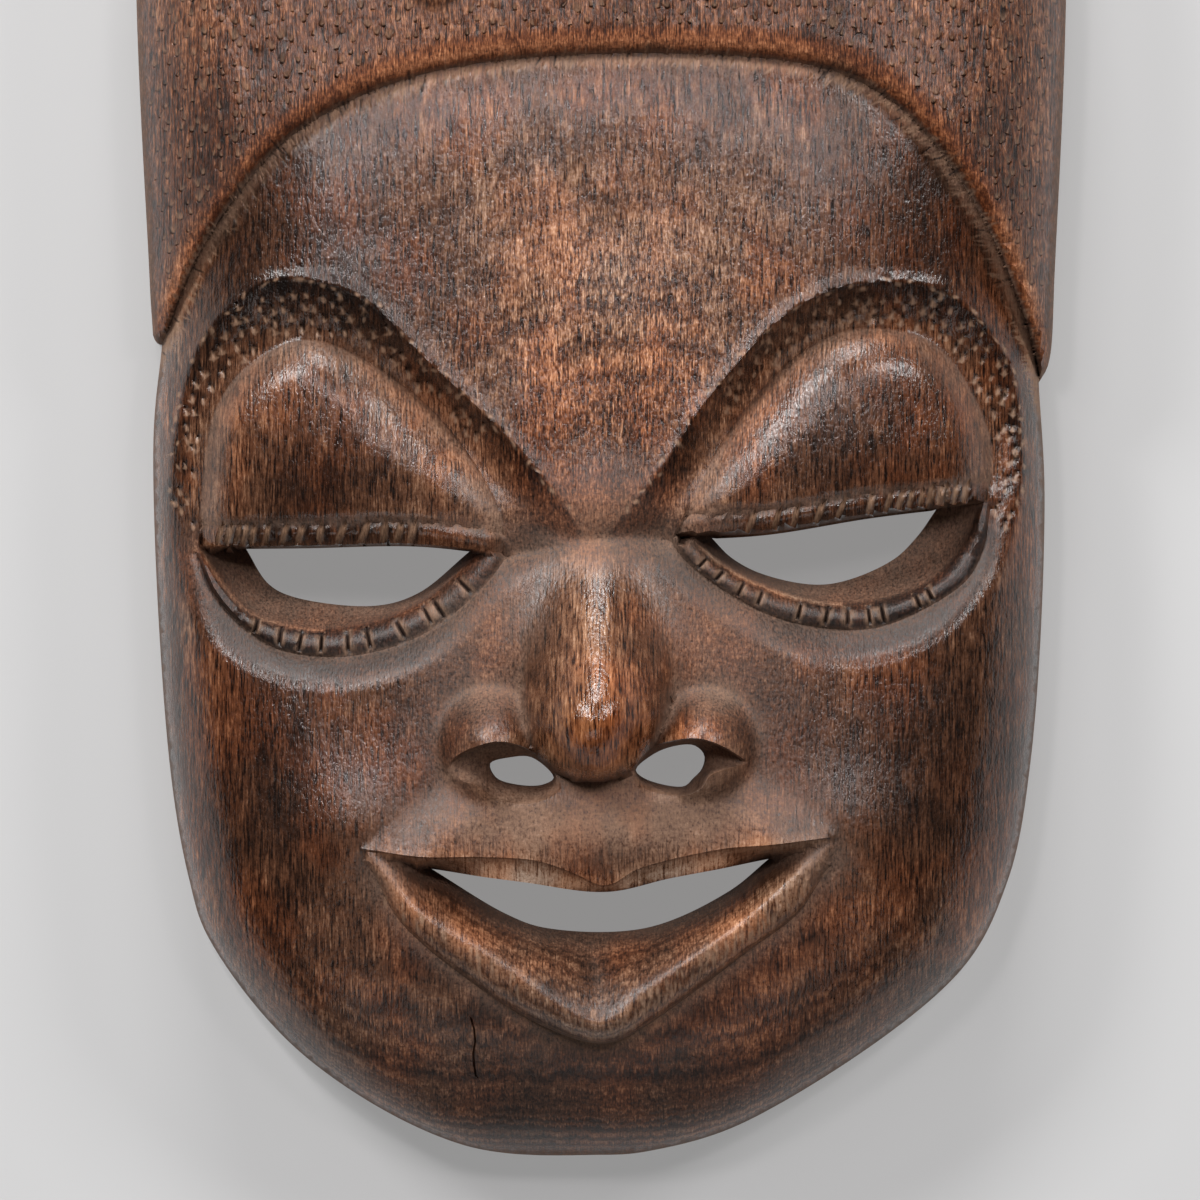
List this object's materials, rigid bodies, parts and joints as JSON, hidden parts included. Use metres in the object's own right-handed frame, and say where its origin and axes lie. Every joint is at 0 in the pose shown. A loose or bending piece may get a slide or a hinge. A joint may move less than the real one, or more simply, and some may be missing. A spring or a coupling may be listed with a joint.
{
  "type": "carved wooden mask",
  "caption": "Carved hardwood face mask with a punched headdress, half-closed slit eyes, a smiling open mouth and a hollow back.",
  "frame": {"origin": "middle of the back rim's outline, in the plane of the rim that the mask lies on", "axes": "+Z out of the face, +Y towards the crown, +X towards the wearer's left"},
  "size_m": [0.2344, 0.4002, 0.0897],
  "materials": {
    "wood": "hand-carved dark brown tropical hardwood, waxed and worn to a soft sheen, dusty in the recesses"
  },
  "bodies": {
    "root": {"mask": "wood"}
  },
  "joints": []
}
